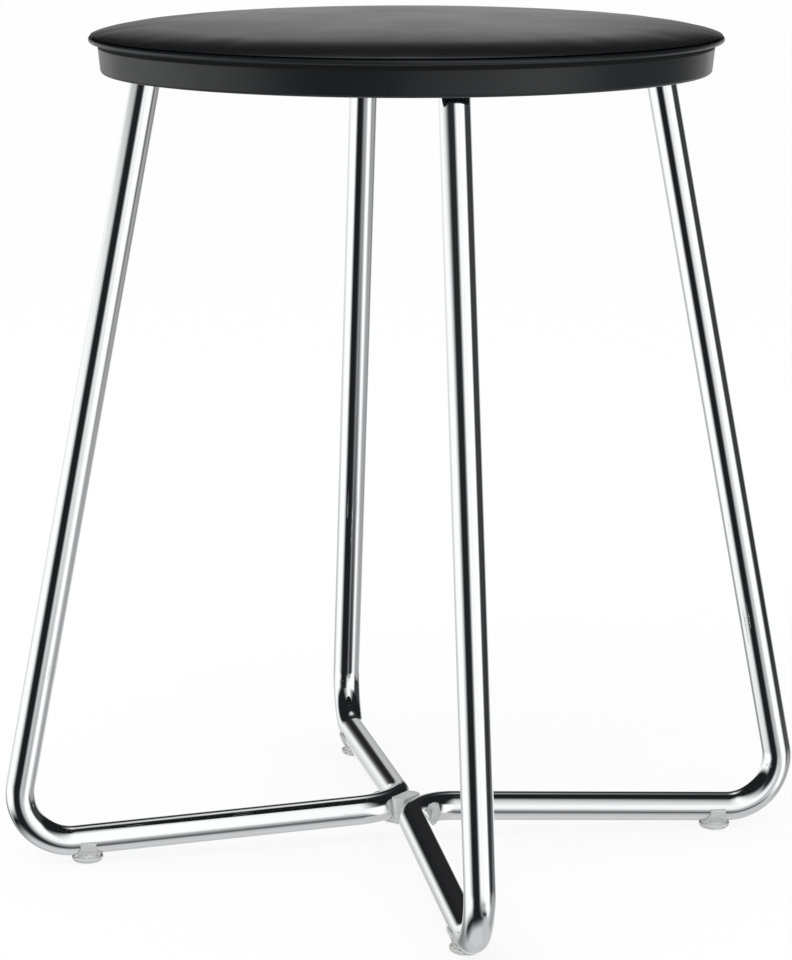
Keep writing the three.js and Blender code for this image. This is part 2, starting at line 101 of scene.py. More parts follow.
class StoolSeatSizes(bpy.types.PropertyGroup):
    """Sizes of the pan and the cushion"""

    lip_height: length("Lip height", "Floor to the underside of the lip", 437.2)
    lip_thickness: length("Lip thickness", "Thickness of the pan's lip", 2.8)
    lip_radius: length("Lip radius", "Radius of the pan's lip", 165)
    lip_round: length("Lip round", "Round of the lip's edges", 1.3)
    recess_depth: length("Recess depth", "How deep the cushion sits in the pan", 1.5)
    recess_radius: length("Recess radius", "Radius of that recess", 150)
    web_thickness: length("Web thickness", "Thickness of the pan's web", 2.5)
    skirt_depth: length("Skirt depth", "Skirt below the lip", 15.8)
    skirt_top: length("Skirt top", "Radius of the skirt under the lip", 160.3)
    skirt_bottom: length("Skirt bottom", "Radius of the skirt's lower edge", 159)
    skirt_wall: length("Skirt wall", "Wall of the skirt", 2.8)
    # This band is rougher and also holds painted shade: its colour is darkened to stand in for the lip's
    # shadow.
    dull_and_shaded_depth: length("Dull depth", "Unpolished band of the skirt under the lip", 2.6)
    skirt_round: length("Skirt round", "Round of the skirt's lower edge", 1.8)
    cover_inset: length("Cover inset", "Cover's edge inside the lip's edge", 0.9)
    cover_thickness: length("Cover thickness", "Thickness of the leatherette", 1)
    crown_rise: length("Crown rise", "Crown above the top of the lip", 10.5)
    dome_drop: length("Dome drop", "Fall of the dome out to the edge roll", 4.1)
    roll_width: length("Roll width", "Width of the edge roll", 34)
    roll_drop: length("Roll drop", "Fall of the edge roll", 5.2)
    roll_overhang: length("Roll overhang", "Roll's curve past the cover's edge", 1.9)
    hem_width: length("Hem width", "Cover turned under at the edge", 18.4)
    cavity_inset: length("Cavity inset", "Padding space inside the cover's edge", 6.4)
    swell: length("Swell", "How far the padding pushes the middle of the cover up", 0.8)
    sides: IntProperty(name="Seat sides", description="Faces round the seat", default=192, min=24)


class StoolPartSizes(bpy.types.PropertyGroup):
    """Sizes of the glides, the clip and the sockets"""

    glide_reach: length("Glide reach", "Stool's axis to the middle of a glide", 174)
    glide_diameter: length("Glide diameter", "Diameter of a glide's disc", 16.8)
    glide_thickness: length("Glide thickness", "Thickness of that disc at its rim", 2.9)
    glide_round: length("Glide round", "Round from the flat underside up to the rim", 2.3)
    glide_land: length("Glide land", "Level edge of the rim's top", 0.4)
    flare_round: length("Flare round", "Hollow round from the rim's top up to the saddle", 2.6)
    saddle_width: length("Saddle width", "Over both arms of a glide, across the tube", 18.6)
    saddle_foot: length("Saddle foot", "Length of the saddle at the disc", 14.8)
    saddle_top: length("Saddle top", "Length of the arms at their tops", 8.1)
    saddle_rise: length("Saddle rise", "Arm tops above the tube's centreline", 0.4)
    clip_width: length("Clip half width", "Half width of the clip's body", 4.2)
    clip_length: length("Clip half length", "Half length of the clip's body", 7.7)
    clip_point: length("Clip point", "Reach of the clip's pointed ends", 9.2)
    clip_top: length("Clip top", "Body's top above the tubes' centrelines", 6.4)
    clip_base: length("Clip base", "Body's underside below the tubes' centrelines", 5.1)
    clip_taper: share("Clip taper", "Outline of the underside against that of the top", 0.86)
    hook_width: length("Hook width", "Width of the clip's hooks", 5)
    hook_wall: length("Hook wall", "Wall of the clip's hooks", 2.2)
    hook_rise: length("Hook rise", "Hook tips above the tubes' centrelines", 4.7)
    boss_circle: length("Boss circle", "Stool's axis to the bosses of the carrier", 92)


class StoolFinishes(bpy.types.PropertyGroup):
    """Colours and gloss"""

    chrome: colour("Chrome", "Chrome plate", (0.96, 0.965, 0.97))
    chrome_roughness: share("Chrome roughness", "Roughness of the chrome", 0.02)
    leatherette: colour("Leatherette", "Cushion cover", (0.0075, 0.0075, 0.008))
    leatherette_roughness: share("Leatherette roughness", "Roughness of the cover", 0.22)
    pan: colour("Pan plastic", "Moulded pan", (0.0085, 0.009, 0.0105))
    pan_roughness: share("Pan roughness", "Roughness of the pan", 0.36)
    clear: colour("Clear plastic", "Translucent clip and glides", (0.88, 0.885, 0.88))
    clear_roughness: share("Clear roughness", "Roughness of the clip and glides", 0.17)
    foam: colour("Foam", "Padding", (0.72, 0.66, 0.52))
    carrier: colour("Carrier plastic", "Plate under the padding", (0.06, 0.06, 0.065))
    steel: colour("Steel", "Zinc-plated screws and plugs", (0.62, 0.63, 0.64))


class StoolStudio(bpy.types.PropertyGroup):
    """Camera, floor and light"""

    camera_turn: FloatProperty(
        name="Camera turn", description="Turn of the view from the right leg's axis", default=9.7206
    )
    camera_pitch: FloatProperty(name="Camera pitch", description="Downward pitch, in degrees", default=11.887)
    camera_side: FloatProperty(name="Camera side", description="Camera off the axis", default=-5.363 * MM)
    camera_distance: length("Camera distance", "Camera in front of the axis", 1727.231)
    camera_height: length("Camera height", "Camera above the floor", 566.65)
    camera_lens: FloatProperty(name="Lens", description="Focal length in millimetres", default=123.718)
    floor_size: length("Floor size", "Edge of the floor", 60000)
    floor: share("Floor", "Brightness of the pale floor", 0.97)
    floor_white: share("White of the floor", "How much of the floor the camera sees as plain white", 0.85)
    ambient: share("Ambient", "Strength of the light from all round", 0.93)


# Mesh helpers


def linked(name, data):
    """New object in the scene."""
    made = bpy.data.objects.new(name, data)
    bpy.context.collection.objects.link(made)
    return made


def meshed(bm, name):
    """New mesh object from a bmesh, which is used up."""
    mesh = bpy.data.meshes.new(name)
    bm.to_mesh(mesh)
    bm.free()
    return linked(name, mesh)


def closed_piece(bm, name, sharp=32.0):
    """Mesh object from a bmesh, faces outwards, smooth but for edges sharper than an angle."""
    bmesh.ops.remove_doubles(bm, verts=bm.verts, dist=0.001 * MM)
    bmesh.ops.recalc_face_normals(bm, faces=bm.faces)
    limit = math.radians(sharp)
    for face in bm.faces:
        face.smooth = True
    for edge in bm.edges:
        edge.smooth = edge.is_manifold and edge.calc_face_angle(0) < limit
    return meshed(bm, name)


def coated(piece, slot):
    """Gives a piece the finish of a slot."""
    piece.data.materials.clear()
    piece.data.materials.append(make_material(slot))


def dress(piece, slot, *nodes):
    """Gives a piece its finish and slot, and lets it stand for CAD nodes."""
    coated(piece, slot)
    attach(piece, BODY)
    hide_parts(*nodes)


def turned(bm, profile, sides, place=None):
    """Spins a profile of (radius, height) pairs in metres once about +Z."""
    verts = [bm.verts.new((radius, 0, height)) for radius, height in profile]
    edges = [bm.edges.new(pair) for pair in zip(verts, verts[1:])]
    before = set(bm.verts)
    bmesh.ops.spin(
        bm, geom=verts + edges, cent=(0, 0, 0), axis=UP, angle=4 * QUARTER, steps=sides, use_merge=True
    )
    made = verts + [v for v in bm.verts if v not in before]
    bmesh.ops.remove_doubles(bm, verts=made, dist=0.0005 * MM)
    made = [v for v in made if v.is_valid]
    if place is not None:
        bmesh.ops.transform(bm, matrix=place, verts=made)
    return made


def rounded(centre, height, size, start, end, steps=6):
    """Points of a round about a centre, from one angle to another, in degrees."""
    points = []
    for i in range(steps + 1):
        angle = math.radians(start + (end - start) * i / steps)
        points.append((centre + size * math.cos(angle), height + size * math.sin(angle)))
    return points


def bar(bm, radius, low, high, sides, place=None):
    return turned(bm, [(0, low), (radius, low), (radius, high), (0, high)], sides, place)


def prism(bm, outline, low, high, place=None):
    """Closed prism over a flat outline of (x, y) pairs."""
    face = bm.faces.new([bm.verts.new((x, y, low)) for x, y in outline])
    grown = bmesh.ops.extrude_face_region(bm, geom=[face])["geom"]
    lifted = [v for v in grown if isinstance(v, bmesh.types.BMVert)]
    bmesh.ops.translate(bm, verts=lifted, vec=UP * (high - low))
    made = list(face.verts) + lifted
    if place is not None:
        bmesh.ops.transform(bm, matrix=place, verts=made)
    return made


def eased(bm, verts, size, segments=2, limit=30.0):
    """Rounds the sharper edges between some vertices."""
    chosen = set(verts)
    bmesh.ops.recalc_face_normals(bm, faces=bm.faces)
    edges = [
        e
        for e in bm.edges
        if chosen.issuperset(e.verts) and e.is_manifold and e.calc_face_angle(0) > math.radians(limit)
    ]
    bmesh.ops.bevel(
        bm, geom=edges, offset=size, segments=segments, profile=0.5, affect="EDGES", material=-1
    )


def combined(bm, tool, operation):
    """The first bmesh joined with, or cut by, the second, through an exact boolean."""
    pair = []
    for part in (bm, tool):
        bmesh.ops.recalc_face_normals(part, faces=part.faces)
        pair.append(meshed(part, "solid"))
    modifier = pair[0].modifiers.new("boolean", "BOOLEAN")
    modifier.operation = operation
    modifier.solver = "EXACT"
    modifier.use_self = True
    modifier.object = pair[1]
    view = bpy.context.evaluated_depsgraph_get()
    mesh = bpy.data.meshes.new_from_object(pair[0].evaluated_get(view))
    made = bmesh.new()
    made.from_mesh(mesh)
    for used in [solid.data for solid in pair] + [mesh]:
        bpy.data.meshes.remove(used)
    return made


# Route of the bent tubes


def quarter_turn(quarter):
    return Matrix.Rotation(quarter * QUARTER, 4, "Z")


def spot(reach, azimuth, height=0.0):
    """Point at a distance from the stool's axis."""
    return Vector((reach * math.cos(azimuth), reach * math.sin(azimuth), height))


def leg_lean(sizes):
    return math.atan2(sizes.foot_reach - sizes.leg_top_reach, sizes.leg_top_height - sizes.foot_height)


def leg_point(sizes, azimuth, drop):
    """A leg's centreline, at a distance along it below the socket floor."""
    lean = leg_lean(sizes)
    reach = sizes.leg_top_reach + drop * math.sin(lean)
    return spot(reach, azimuth, sizes.leg_top_height - drop * math.cos(lean))


def foot_point(sizes, azimuth):
    return spot(sizes.foot_reach, azimuth, sizes.foot_height)


def runner_height(sizes, reach):
    return sizes.foot_height + sizes.crossing_rise * (sizes.foot_reach - reach) / sizes.foot_reach


def swept_tube(bm, sizes, radius, turn):
    """Skin round the route of one bent tube. Returns the rings at its two ends."""
    right, front, drop = turn, turn - QUARTER, sizes.leg_top_drop
    corners = [
        leg_point(sizes, right, drop),
        foot_point(sizes, right),
        Vector((0, 0, sizes.foot_height + sizes.crossing_rise)),
        foot_point(sizes, front),
        leg_point(sizes, front, drop),
    ]
    heading = (corners[1] - corners[0]).normalized()
    place = Matrix.Translation(corners[0]) @ heading.to_track_quat("Z", "Y").to_matrix().to_4x4()
    made = bmesh.ops.create_circle(bm, segments=sizes.sides, radius=radius, matrix=place)
    ring = list({e for v in made["verts"] for e in v.link_edges})
    first, position = ring, corners[0]

    def drawn(ring, move):
        grown = bmesh.ops.extrude_edge_only(bm, edges=ring)["geom"]
        bmesh.ops.translate(bm, verts=[v for v in grown if isinstance(v, bmesh.types.BMVert)], vec=move)
        return [e for e in grown if isinstance(e, bmesh.types.BMEdge)]

    bends = (sizes.outer_bend, sizes.crossing_bend, sizes.outer_bend)
    for before, corner, after, bend in zip(corners, corners[1:], corners[2:], bends):
        arriving = (corner - before).normalized()
        leaving = (after - corner).normalized()
        angle = arriving.angle(leaving)
        trim = bend * math.tan(angle / 2)
        ring = drawn(ring, corner - arriving * trim - position)
        spun = bmesh.ops.spin(
            bm,
            geom=list({v for e in ring for v in e.verts}) + ring,
            cent=corner + (leaving - arriving).normalized() * bend / math.cos(angle / 2),
            axis=arriving.cross(leaving).normalized(),
            angle=angle,
            steps=sizes.bend_steps,
        )
        ring = [e for e in spun["geom_last"] if isinstance(e, bmesh.types.BMEdge)]
        position = corner + leaving * trim
    return first, drawn(ring, corners[-1] - position)


def capped_tube(sizes, radius, turn):
    """Solid round bar along the route, for cutting."""
    bm = bmesh.new()
    for ring in swept_tube(bm, sizes, radius, turn):
        bmesh.ops.contextual_create(bm, geom=ring)
    return bm


# Materials


def add(tree, kind, values=None, **settings):
    """New node. Values go to its inputs, as a link where the value is a socket."""
    node = tree.nodes.new(kind)
    for key, value in settings.items():
        setattr(node, key, value)
    for key, value in (values or {}).items():
        if isinstance(value, bpy.types.NodeSocket):
            tree.links.new(value, node.inputs[key])
        else:
            node.inputs[key].default_value = value
    return node


def math_node(tree, operation, *values):
    return add(tree, "ShaderNodeMath", dict(enumerate(values)), operation=operation).outputs[0]


def soft_edge(tree, distance, half, softness):
    """1 inside a half width and 0 outside it, with a smooth edge."""
    values = {"Value": distance, "From Min": half + softness / 2, "From Max": half - softness / 2}
    return add(tree, "ShaderNodeMapRange", values, interpolation_type="SMOOTHSTEP").outputs["Result"]


def group(name, inputs, outputs):
    """Empty node group with float inputs, and outputs given as name and socket type."""
    tree = bpy.data.node_groups.new(name, "ShaderNodeTree")
    for label, value in inputs:
        kind = "NodeSocketVector" if label == "Vector" else "NodeSocketFloat"
        socket = tree.interface.new_socket(label, in_out="INPUT", socket_type=kind)
        if label != "Vector":
            socket.default_value = value
    for label, kind in outputs:
        tree.interface.new_socket(label, in_out="OUTPUT", socket_type=kind)
    return tree, tree.nodes.new("NodeGroupInput").outputs, tree.nodes.new("NodeGroupOutput").inputs


def grain_group():
    """Fine pebbled grain, as on leatherette and moulded plastic."""
    tree = bpy.data.node_groups.get("fine_grain")
    if tree:
        return tree
    tree, given, result = group(
        "fine_grain",
        (("Vector", None), ("Cells per metre", 1500), ("Depth", 0.1), ("Strength", 0.3)),
        (("Normal", "NodeSocketVector"), ("Cells", "NodeSocketFloat")),
    )
    bend = add(tree, "ShaderNodeTexNoise", {"Vector": given["Vector"], "Scale": 260, "Detail": 2})
    wander = (0.6 * MM,) * 3
    mixed = add(
        tree,
        "ShaderNodeVectorMath",
        {0: bend.outputs["Color"], 1: wander, 2: given["Vector"]},
        operation="MULTIPLY_ADD",
    )
    values = {"Vector": mixed.outputs[0], "Scale": given["Cells per metre"], "Smoothness": 0.6}
    cells = add(tree, "ShaderNodeTexVoronoi", values, feature="SMOOTH_F1")
    bump = add(
        tree,
        "ShaderNodeBump",
        {"Height": cells.outputs["Distance"], "Strength": given["Strength"], "Distance": given["Depth"]},
    )
    tree.links.new(bump.outputs["Normal"], result["Normal"])
    tree.links.new(cells.outputs["Distance"], result["Cells"])
    return tree


def handling_group():
    """Uneven gloss where hands, cloths and dust leave a surface a little duller."""
    tree = bpy.data.node_groups.get("handling_gloss")
    if tree:
        return tree
    tree, given, result = group(
        "handling_gloss",
        (("Vector", None), ("Patches per metre", 12), ("Least roughness", 0.3), ("Most roughness", 0.4)),
        (("Roughness", "NodeSocketFloat"), ("Patches", "NodeSocketFloat")),
    )
    values = {"Vector": given["Vector"], "Scale": given["Patches per metre"], "Detail": 5}
    broad = add(tree, "ShaderNodeTexNoise", values)
    level = add(
        tree,
        "ShaderNodeMapRange",
        {
            "Value": broad.outputs["Fac"],
            "From Min": 0.35,
            "From Max": 0.68,
            "To Min": given["Least roughness"],
            "To Max": given["Most roughness"],
        },
        interpolation_type="SMOOTHSTEP",
    )
    tree.links.new(level.outputs["Result"], result["Roughness"])
    tree.links.new(broad.outputs["Fac"], result["Patches"])
    return tree


def new_material(name, **values):
    """Principled material. Keys are its sockets' names with underscores for spaces."""
    material = bpy.data.materials.new(name + FINISH)
    material.use_nodes = True
    tree = material.node_tree
    shader = tree.nodes["Principled BSDF"]
    for key, value in values.items():
        shader.inputs[key.replace("_", " ")].default_value = value
    place = add(tree, "ShaderNodeTexCoord").outputs["Object"]
    return material, tree, shader, place


def uneven_gloss(tree, shader, place, patches, least, most):
    """Runs the roughness between two values, with patches per metre. Returns the group's outputs."""
    values = {"Vector": place, "Patches per metre": patches, "Least roughness": least, "Most roughness": most}
    gloss = add(tree, "ShaderNodeGroup", values, node_tree=handling_group()).outputs
    tree.links.new(gloss["Roughness"], shader.inputs["Roughness"])
    return gloss


def grained(tree, shader, place, cells, depth, strength):
    """Gives a surface the fine grain, with cells per metre, and returns the cells."""
    values = {"Vector": place, "Cells per metre": cells, "Depth": depth, "Strength": strength}
    grain = add(tree, "ShaderNodeGroup", values, node_tree=grain_group()).outputs
    tree.links.new(grain["Normal"], shader.inputs["Normal"])
    return grain["Cells"]


def tinted(tree, shader, factor, base, low, high):
    """Base colour that runs with a factor between two shades of one colour."""
    low, high = ([min(1.0, channel * shade) for channel in base] + [1] for shade in (low, high))
    ramp = add(tree, "ShaderNodeMix", {"Factor": factor, 6: low, 7: high}, data_type="RGBA")
    tree.links.new(ramp.outputs[2], shader.inputs["Base Color"])


def make_material(name):
    """The named finish, made once."""
    made = bpy.data.materials.get(name + FINISH)
    if made:
        return made
    return MAKERS[name](bpy.context.scene.stool_finishes)


def chrome_material(finishes):
    rough = finishes.chrome_roughness
    material, tree, shader, place = new_material("chrome", Metallic=1.0)
    gloss = uneven_gloss(tree, shader, place, 35, rough * 0.6, rough * 1.6)
    tinted(tree, shader, gloss["Patches"], finishes.chrome, 0.99, 1.01)
    ripple = add(tree, "ShaderNodeTexNoise", {"Vector": place, "Scale": 90, "Detail": 1})
    bump = add(
        tree, "ShaderNodeBump", {"Height": ripple.outputs["Fac"], "Strength": 0.06, "Distance": 0.05 * MM}
    )
    tree.links.new(bump.outputs["Normal"], shader.inputs["Normal"])
    return material


def leatherette_material(finishes):
    rough = finishes.leatherette_roughness
    material, tree, shader, place = new_material("leatherette")
    uneven_gloss(tree, shader, place, 14, rough * 0.93, rough * 1.1)
    cells = grained(tree, shader, place, 1300, 0.03 * MM, 0.05)
    tinted(tree, shader, cells, finishes.leatherette, 1.15, 0.85)
    return material


def pan_material(finishes):
    """Satin plastic, left dull in a band under the lip, where painted shade also darkens its colour."""
    rough, dull_roughness, painted_shade, blend = finishes.pan_roughness, 0.85, 0.3, 0.6 * MM
    material, tree, shader, place = new_material("pan_plastic")
    gloss = uneven_gloss(tree, shader, place, 20, rough * 0.92, rough * 1.12)
    grained(tree, shader, place, 2600, 0.02 * MM, 0.08)
    seat = bpy.context.scene.stool_seat_sizes
    height = add(tree, "ShaderNodeSeparateXYZ", {0: place}).outputs["Z"]
    middle = seat.lip_height - seat.dull_and_shaded_depth / 2
    apart = math_node(tree, "ABSOLUTE", math_node(tree, "SUBTRACT", height, middle))
    band = soft_edge(tree, apart, seat.dull_and_shaded_depth / 2, blend)
    values = {"Factor": band, 2: gloss["Roughness"], 3: dull_roughness}
    dulled = add(tree, "ShaderNodeMix", values, data_type="FLOAT")
    tree.links.new(dulled.outputs[0], shader.inputs["Roughness"])
    # Painted shade: the band's base colour is darkened to stand in for the shadow under the lip.
    tinted(tree, shader, band, finishes.pan, 1, painted_shade)
    return material


def clear_material(finishes):
    rough = finishes.clear_roughness
    material, tree, shader, place = new_material("clear_plastic", IOR=1.49, Transmission_Weight=0.5)
    gloss = uneven_gloss(tree, shader, place, 90, rough * 0.8, rough * 1.3)
    tinted(tree, shader, gloss["Patches"], finishes.clear, 0.9, 1.05)
    return material


def foam_material(finishes):
    material, tree, shader, place = new_material("foam", Roughness=0.95)
    cells = grained(tree, shader, place, 700, 0.5 * MM, 0.9)
    tinted(tree, shader, cells, finishes.foam, 1.05, 0.7)
    return material


def carrier_material(finishes):
    material, tree, shader, place = new_material("carrier_plastic")
    gloss = uneven_gloss(tree, shader, place, 25, 0.5, 0.66)
    grained(tree, shader, place, 1900, 0.04 * MM, 0.4)
    tinted(tree, shader, gloss["Patches"], finishes.carrier, 0.8, 1.2)
    return material


def steel_material(finishes):
    material, tree, shader, place = new_material("steel", Metallic=1.0)
    gloss = uneven_gloss(tree, shader, place, 300, 0.22, 0.42)
    tinted(tree, shader, gloss["Patches"], finishes.steel, 0.9, 1.08)
    return material


MAKERS = {
    "chrome": chrome_material,
    "leatherette": leatherette_material,
    "pan_plastic": pan_material,
    "clear_plastic": clear_material,
    "foam": foam_material,
    "carrier_plastic": carrier_material,
    "steel": steel_material,
}


# Operators


class STOOL_OT_frame_tubes(bpy.types.Operator):
    """Makes the two bent chrome tubes"""

    bl_idname = "stool.frame_tubes"
    bl_label = "Frame tubes"

    def execute(self, context):
        sizes = context.scene.stool_frame_sizes
        radius = sizes.tube_diameter / 2
        for name, turn in (("frame_tube_right_front", 0), ("frame_tube_left_back", 2 * QUARTER)):
            bm = bmesh.new()
            outer = swept_tube(bm, sizes, radius, turn)
            bore = swept_tube(bm, sizes, radius - sizes.tube_wall, turn)
            for outer_ring, bore_ring in zip(outer, bore):
                bmesh.ops.bridge_loops(bm, edges=outer_ring + bore_ring)
            piece = closed_piece(bm, name + "_chromed")
            piece.visible_glossy = False
            dress(piece, "chrome", name)
        return {"FINISHED"}


class STOOL_OT_centre_clip(bpy.types.Operator):
    """Makes the translucent clip between the two crossing bends"""

    bl_idname = "stool.centre_clip"
    bl_label = "Centre clip"

    def execute(self, context):
        sizes, parts = context.scene.stool_frame_sizes, context.scene.stool_part_sizes
        radius = sizes.tube_diameter / 2
        reach = sizes.crossing_bend * (math.sqrt(2) - 1)
        middle = sizes.foot_height + sizes.crossing_rise * (1 - reach / math.sqrt(2) / sizes.foot_reach)
        hook_radius = radius + LOOSE_GAP + parts.hook_wall
        half = parts.hook_width / 2
        body_round, bridge_round, hook_bevel = 0.7 * MM, 0.3 * MM, 0.4 * MM
        turn = Matrix.Rotation(-QUARTER / 2, 4, "Z")
        w, l, p = parts.clip_width, parts.clip_length, parts.clip_point
        outline = [(w, -l), (w, l), (0, p), (-w, l), (-w, -l), (0, -p)]
        body = bmesh.new()
        block = prism(body, outline, middle - parts.clip_base, middle + parts.clip_top)
        for vert in block:
            if vert.co.z < middle:
                vert.co.xy *= parts.clip_taper
        bmesh.ops.transform(body, matrix=turn, verts=block)
        eased(body, block, body_round, segments=3)
        bridge = bmesh.new()
        square = [(-reach, -half), (reach, -half), (reach, half), (-reach, half)]
        eased(bridge, prism(bridge, square, middle - hook_radius, middle, turn), bridge_round)
        body = combined(body, bridge, "UNION")
        hooks = bmesh.new()
        for side in (-1, 1):
            lie = turn @ Matrix.Translation((side * reach, 0, middle)) @ Matrix.Rotation(QUARTER, 4, "X")
            profile = [(0, -half), (hook_radius - hook_bevel, -half), (hook_radius, hook_bevel - half)]
            turned(hooks, profile + [(r, -z) for r, z in reversed(profile)], FINE, lie)
        cut = bmesh.new()
        wide = reach + 2 * hook_radius
        square = [(-wide, -2 * half), (wide, -2 * half), (wide, 2 * half), (-wide, 2 * half)]
        prism(cut, square, middle + parts.hook_rise, middle + 2 * hook_radius, turn)
        hooks = combined(hooks, cut, "DIFFERENCE")
        body = combined(body, hooks, "UNION")
        for side in (0, 2 * QUARTER):
            body = combined(body, capped_tube(sizes, radius + GRIP_GAP, side), "DIFFERENCE")
        piece = closed_piece(body, "centre_clip_moulding")
        dress(piece, "clear_plastic", "centre_clip")
        return {"FINISHED"}


class STOOL_OT_foot_glides(bpy.types.Operator):
    """Makes the four translucent clip-on glides"""

    bl_idname = "stool.foot_glides"
    bl_label = "Foot glides"

    def execute(self, context):
        sizes, parts = context.scene.stool_frame_sizes, context.scene.stool_part_sizes
        tube = sizes.tube_diameter / 2
        axis_height = runner_height(sizes, parts.glide_reach)
        radius, thick = parts.glide_diameter / 2, parts.glide_thickness
        under, land, flare = parts.glide_round, parts.glide_land, parts.flare_round
        slope = math.atan(sizes.crossing_rise / sizes.foot_reach)
        narrowing, steps, arm_round, wrap_inset, reach = 2.2, 12, 0.3 * MM, 0.02 * MM, 20 * MM
        for name, quarter in LEGS:
            disc = bmesh.new()
            turned(
                disc,
                [(0, 0)]
                + rounded(radius - under, under, under, -90, 0, 10)
                + rounded(radius - land / 2, thick - land / 2, land / 2, 0, 90, 3)
                + rounded(radius - land, thick + flare, flare, -90, -180, 10)
                + [(0, thick + flare)],
                MEDIUM,
            )
            low, high = thick - land, axis_height + parts.saddle_rise
            side = []
            for i in range(steps + 1):
                up = i / steps
                wider = (parts.saddle_foot - parts.saddle_top) * (1 - up) ** narrowing
                side.append(((parts.saddle_top + wider) / 2, low + (high - low) * up))
            outline = side + [(-x, z) for x, z in reversed(side)]
            saddle = bmesh.new()
            half = parts.saddle_width / 2
            arms = prism(saddle, outline, -half, half, Matrix.Rotation(QUARTER, 4, "X"))
            eased(saddle, arms, arm_round, limit=60)
            along = Matrix.Translation((0, 0, axis_height)) @ Matrix.Rotation(QUARTER + slope, 4, "Y")
            wrap, passage = bmesh.new(), bmesh.new()
            bar(wrap, half - wrap_inset, -reach, reach, FINE, along)
            bar(passage, tube + GRIP_GAP, -reach, reach, FINE, along)
            body = combined(disc, combined(saddle, wrap, "INTERSECT"), "UNION")
            body = combined(body, passage, "DIFFERENCE")
            place = quarter_turn(quarter) @ Matrix.Translation((parts.glide_reach, 0, 0))
            bmesh.ops.transform(body, matrix=place, verts=body.verts)
            piece = closed_piece(body, f"foot_glide_{name}_moulding")
            dress(piece, "clear_plastic", f"foot_glide_{name}")
        return {"FINISHED"}


def leg_place(sizes, quarter):
    """Matrix whose +Z runs up along a leg, from the middle of the socket floor."""
    stand = Matrix.Translation((sizes.leg_top_reach, 0, sizes.leg_top_height))
    return quarter_turn(quarter) @ stand @ Matrix.Rotation(-leg_lean(sizes), 4, "Y")


def boss_place(parts, index):
    return spot(parts.boss_circle, (index + 0.5) * QUARTER)


